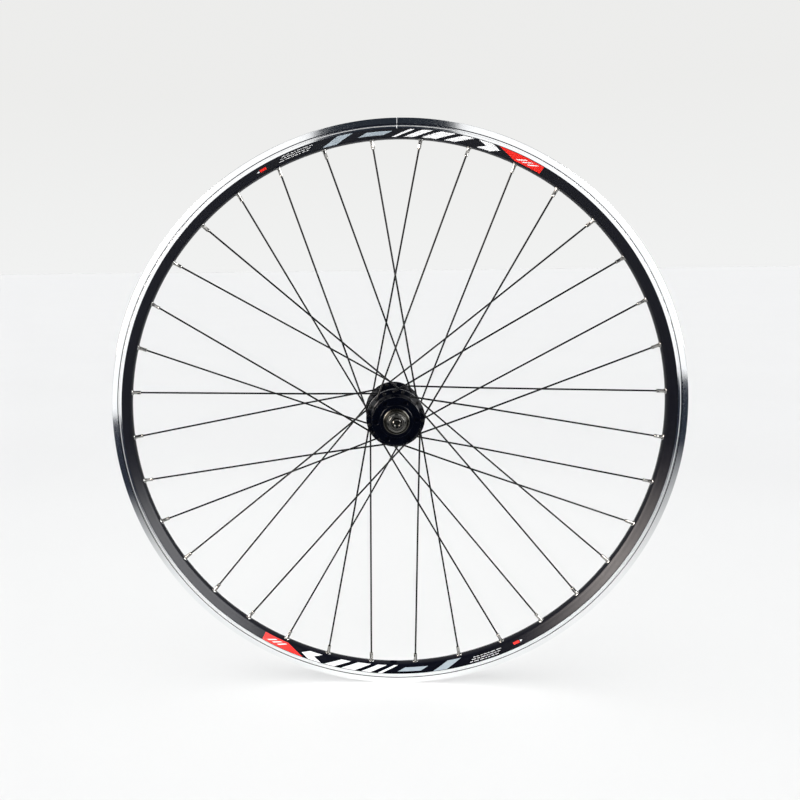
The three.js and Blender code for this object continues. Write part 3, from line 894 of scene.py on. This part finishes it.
def ball_ring():
    low, high = BEARING_Y - CAGE_HALF, BEARING_Y + CAGE_HALF
    inner, outer = BALL_CIRCLE_R - CAGE_HALF, BALL_CIRCLE_R + CAGE_HALF
    cage = rounded([(inner, low), (outer, low), (outer, high), (inner, high)], 0.2)
    balls = [sphere(around(BALL_CIRCLE_R, 360 * k / BALLS, BEARING_Y), BALL_R) for k in range(BALLS)]
    return merged([lathe(cage, 96), *balls])


END_PIECES = [
    # CAD node's ending, shell, body, slot, finish
    ("bearing_cup", lathe(cup_outline, 96), "wheel", "bearing_steel", BEARING_STEEL),
    ("dust_cap", lathe(cap_outline, 128), "wheel", "cap_steel", CAP_STEEL),
    ("cone", lathe(cone_outline, 96, cone_shape), "axle_set", "bearing_steel", BEARING_STEEL),
    ("lock_washer", lathe(washer_outline, 96), "axle_set", "axle_steel", AXLE_STEEL),
    ("locknut", lathe(locknut_outline, 192, locknut_shape), "axle_set", "axle_steel", AXLE_STEEL),
]
for side in ("left", "right"):
    for ending, shell, body, slot, look in END_PIECES:
        placed = turned_half(shell) if side == "left" else shell
        add(f"{side}_{ending}_fine", placed, body, look, [f"{side}_{ending}"], sharp=30)
    balls = turned_half(ball_ring()) if side == "left" else ball_ring()
    add(f"{side}_balls_fine", balls, f"{side}_balls", BEARING_STEEL, [f"{side}_ball_ring"])

THREAD_PITCH = 1.0
THREAD_DEPTH = 0.42
THREAD_START = 30.0


def axle_shape(r, y, angle):
    """The thread that runs in from each end of the axle."""
    if abs(y) > THREAD_START and r > AXLE_R - 0.01:
        r -= THREAD_DEPTH * triangle_wave(y / THREAD_PITCH + angle / 360)
    return r, y


thread_rows = [(AXLE_R, THREAD_START + k * THREAD_PITCH / 6)
               for k in range(int((AXLE_END_Y - THREAD_START - 0.5) * 6) + 1)]
axle_half = [*thread_rows, (AXLE_R - 0.5, AXLE_END_Y), (AXLE_BORE_R + 0.35, AXLE_END_Y),
             (AXLE_BORE_R, AXLE_END_Y - 0.35)]
axle_outline = mirrored(axle_half) + axle_half
axle = add("axle_fine", lathe(axle_outline, 48, axle_shape), "axle_set",
           [AXLE_STEEL, BORE_PAINTED_SHADE], ["axle"], sharp=24)
# faces inside the bore take the near-black finish, as painted shade in the hole
for face in axle.data.polygons:
    face.material_index = int(math.hypot(face.center.x, face.center.z) < (AXLE_BORE_R + 0.1) * MM)


# ---- floor, light and camera ----
# distance at which the painted light round the wheel has faded to the floor's darker far colour
FLOOR_FADE_END = 1.3  # metres from the wheel's centre


def paint_floor():
    """Pale paper with painted light: brighter round the wheel, a little darker away from it."""
    graph = Graph("pale_floor")
    distance = graph.node("VectorMath", operation="LENGTH")
    graph.join(graph.place, distance.inputs[0])
    fade = graph.node("MapRange")
    fade.inputs["From Min"].default_value = RIM_R * MM
    fade.inputs["From Max"].default_value = FLOOR_FADE_END
    graph.join(distance.outputs["Value"], fade.inputs["Value"])
    # painted light: the paper's colour is brighter near the wheel and fades darker out to FLOOR_FADE_END
    paper = graph.blend(fade.outputs["Result"], (0.805, 0.81, 0.81), (0.75, 0.755, 0.76))
    mottle = graph.blend(graph.noise(400), (1, 1, 1), (0.98, 0.98, 0.98))
    colour = graph.node("Mix", data_type="RGBA", blend_type="MULTIPLY")
    colour.inputs["Factor"].default_value = 1
    graph.join(paper, colour.inputs["A"])
    graph.join(mottle, colour.inputs["B"])
    graph.join(colour.outputs["Result"], graph.shader.inputs["Base Color"])
    graph.shader.inputs["Roughness"].default_value = 0.9
    graph.shader.inputs["Specular IOR Level"].default_value = 0
    return graph.material


FLOOR_Z = -RIM_R - 0.1
FLOOR_HALF = 30000.0  # far enough out that its edge is at the horizon
floor = new_object("floor", ([Vector((x, y, FLOOR_Z)) for x, y in (
    (-FLOOR_HALF, -FLOOR_HALF), (FLOOR_HALF, -FLOOR_HALF), (FLOOR_HALF, FLOOR_HALF), (-FLOOR_HALF, FLOOR_HALF)
)], [(0, 1, 2, 3)]))
floor.data.materials.append(paint_floor())


def shine(name, light, place, aim, to_gloss, to_matt):
    """Puts a light in the scene, seen by reflections, by matt surfaces, or both, but not by the camera."""
    lamp = bpy.data.objects.new(name, light)
    lamp.location = place
    lamp.rotation_mode = "QUATERNION"
    lamp.rotation_quaternion = (Vector(aim) - Vector(place)).to_track_quat("-Z", "Y")
    lamp.visible_camera = False
    lamp.visible_glossy = to_gloss
    lamp.visible_diffuse = to_matt
    bpy.context.scene.collection.objects.link(lamp)


def panel(name, place, aim, width, height, radiance, colour=(1, 1, 1)):
    """A rectangular light that only reflections see."""
    light = bpy.data.lights.new(name, "AREA")
    light.color = colour
    light.shape = "RECTANGLE"
    light.size = width
    light.size_y = height
    light.energy = radiance * math.pi * width * height
    shine(name, light, place, aim, True, False)


def softbox(name, low, high, radiance):
    """An upright panel in front of the wheel between two (x, z) corners, for reflections only."""
    middle = ((low[0] + high[0]) / 2, (low[1] + high[1]) / 2)
    panel(name, (middle[0], SOFTBOX_Y, middle[1]), (middle[0], 0, middle[1]), high[0] - low[0],
          high[1] - low[1], radiance)


def fill(name, direction, strength, spread, shadows=True):
    """Soft light from far off, for the matt surfaces only, with or without shadows."""
    light = bpy.data.lights.new(name, "SUN")
    light.use_shadow = shadows
    light.cycles.use_multiple_importance_sampling = shadows  # left on, it brings part of a shadow back
    light.energy = strength
    light.angle = math.radians(spread)
    shine(name, light, direction, (0, 0, 0), False, True)


def fading_card(name, low_x, high_x, near, far):
    """A card on the floor in front of the wheel that only reflections see: pale near, black far off."""
    corners = [Vector((x, y, FLOOR_Z + 1)) for x, y in (
        (low_x, near), (high_x, near), (high_x, -FLOOR_HALF), (low_x, -FLOOR_HALF))]
    card = new_object(name, (corners, [(0, 1, 2, 3)]))
    graph = Graph(name)
    split = graph.node("SeparateXYZ")
    graph.join(graph.place, split.inputs["Vector"])
    depth = graph.node("MapRange")
    depth.inputs["From Min"].default_value = near * MM
    depth.inputs["From Max"].default_value = far * MM
    graph.join(split.outputs["Y"], depth.inputs["Value"])
    colour = graph.blend(depth.outputs["Result"], (0.80, 0.805, 0.805), (0.018, 0.022, 0.034))
    graph.join(colour, graph.shader.inputs["Base Color"])
    graph.shader.inputs["Specular IOR Level"].default_value = 0
    card.data.materials.append(graph.material)
    card.visible_camera = False
    card.visible_diffuse = False
    card.visible_shadow = False


# panels for the flat tracks to mirror, side lights for the curved walls, and even light for the rest
SOFTBOX_Y = -1.6
softbox("softbox_left", (-1.5, -0.31), (-0.6, 1.5), 1.1)
softbox("softbox_left_inner", (-0.6, -0.2), (-0.162, 1.5), 1.1)
softbox("softbox_right", (0.25, -0.186), (1.6, 1.5), 1.1)
WARM = (1.0, 0.91, 0.85)
panel("side_left", (-2.4, -0.9, 1.15), (0, 0, 0), 2.6, 1.95, 11.4, WARM)
panel("side_left_core", (-2.3, -0.87, 1.1), (0, 0, 0), 2.2, 0.75, 14.0, WARM)
panel("side_right", (2.4, -0.9, 1.15), (0, 0, 0), 2.6, 1.95, 12.9)
panel("overhead", (0, 0.3, 2.2), (0, 0.2, 0), 2.0, 1.2, 0.5)
fill("fill_front", (0.1, -1, 0.25), 2.9, 70, shadows=False)
fill("fill_top", (-0.2, -0.35, 1), 1.0, 80)
fill("fill_top_even", (0, 0, 1), 2.03, 60, shadows=False)
CARD_SPLIT_X = 150
fading_card("card_left", -FLOOR_HALF, CARD_SPLIT_X, -290, -790)
fading_card("card_right", CARD_SPLIT_X, FLOOR_HALF, -300, -1280)


# the camera's wall: lighter at the horizon and darker higher up, as painted shade
WALL_LOW = (0.88, 0.885, 0.88, 1)
WALL_HIGH = (0.845, 0.845, 0.835, 1)
ROOM_FRONT = (0.018, 0.023, 0.032, 1)
ROOM_BEHIND = (0.85, 0.85, 0.85, 1)


def set_world():
    """The camera sees a pale wall all round, with painted shade that makes it darker higher up. Reflections
    see a room, dark in front and pale behind.
    """
    world = bpy.data.worlds.new("studio")
    bpy.context.scene.world = world
    world.cycles_visibility.diffuse = False
    world.use_nodes = True
    tree = world.node_tree

    def ramp(value, low, high):
        node = tree.nodes.new("ShaderNodeMapRange")
        node.inputs["From Min"].default_value = low
        node.inputs["From Max"].default_value = high
        tree.links.new(value, node.inputs["Value"])
        return node.outputs["Result"]

    def mix(factor):
        node = tree.nodes.new("ShaderNodeMix")
        node.data_type = "RGBA"
        tree.links.new(factor, node.inputs["Factor"])
        return node

    split = tree.nodes.new("ShaderNodeSeparateXYZ")
    tree.links.new(tree.nodes.new("ShaderNodeTexCoord").outputs["Generated"], split.inputs["Vector"])
    room = mix(ramp(split.outputs["Y"], -0.15, 0.35))
    room.inputs["A"].default_value = ROOM_FRONT
    room.inputs["B"].default_value = ROOM_BEHIND
    # painted shade: the wall darkens from the horizon upwards
    wall = mix(ramp(split.outputs["Z"], 0, 0.18))
    wall.inputs["A"].default_value = WALL_LOW
    wall.inputs["B"].default_value = WALL_HIGH
    choice = mix(tree.nodes.new("ShaderNodeLightPath").outputs["Is Camera Ray"])
    tree.links.new(room.outputs["Result"], choice.inputs["A"])
    tree.links.new(wall.outputs["Result"], choice.inputs["B"])
    tree.links.new(choice.outputs["Result"], tree.nodes["Background"].inputs["Color"])


set_world()


def make_camera(position, yaw, pitch, roll, lens, shift):
    """A camera given by where it stands and its heading from +Y, pitch and roll in degrees."""
    yaw, pitch, roll = (math.radians(value) for value in (yaw, pitch, roll))
    forward = Vector((math.sin(yaw) * math.cos(pitch), math.cos(yaw) * math.cos(pitch), math.sin(pitch)))
    level = Vector((math.cos(yaw), -math.sin(yaw), 0))
    top = level.cross(forward)
    right = level * math.cos(roll) + top * math.sin(roll)
    up = top * math.cos(roll) - level * math.sin(roll)
    data = bpy.data.cameras.new("camera")
    data.sensor_width = 36
    data.lens = lens
    data.shift_x = shift
    data.clip_start = 0.02
    data.clip_end = 100
    camera = bpy.data.objects.new("camera", data)
    camera.matrix_world = Matrix((
        (right.x, up.x, -forward.x, position[0]), (right.y, up.y, -forward.y, position[1]),
        (right.z, up.z, -forward.z, position[2]), (0, 0, 0, 1)))
    bpy.context.scene.collection.objects.link(camera)
    bpy.context.scene.camera = camera


make_camera((-0.0434, -0.9128, 0.1742), yaw=-2.92, pitch=-9.775, roll=-0.65, lens=37.14, shift=0.107)
bpy.context.scene.view_settings.view_transform = "Standard"
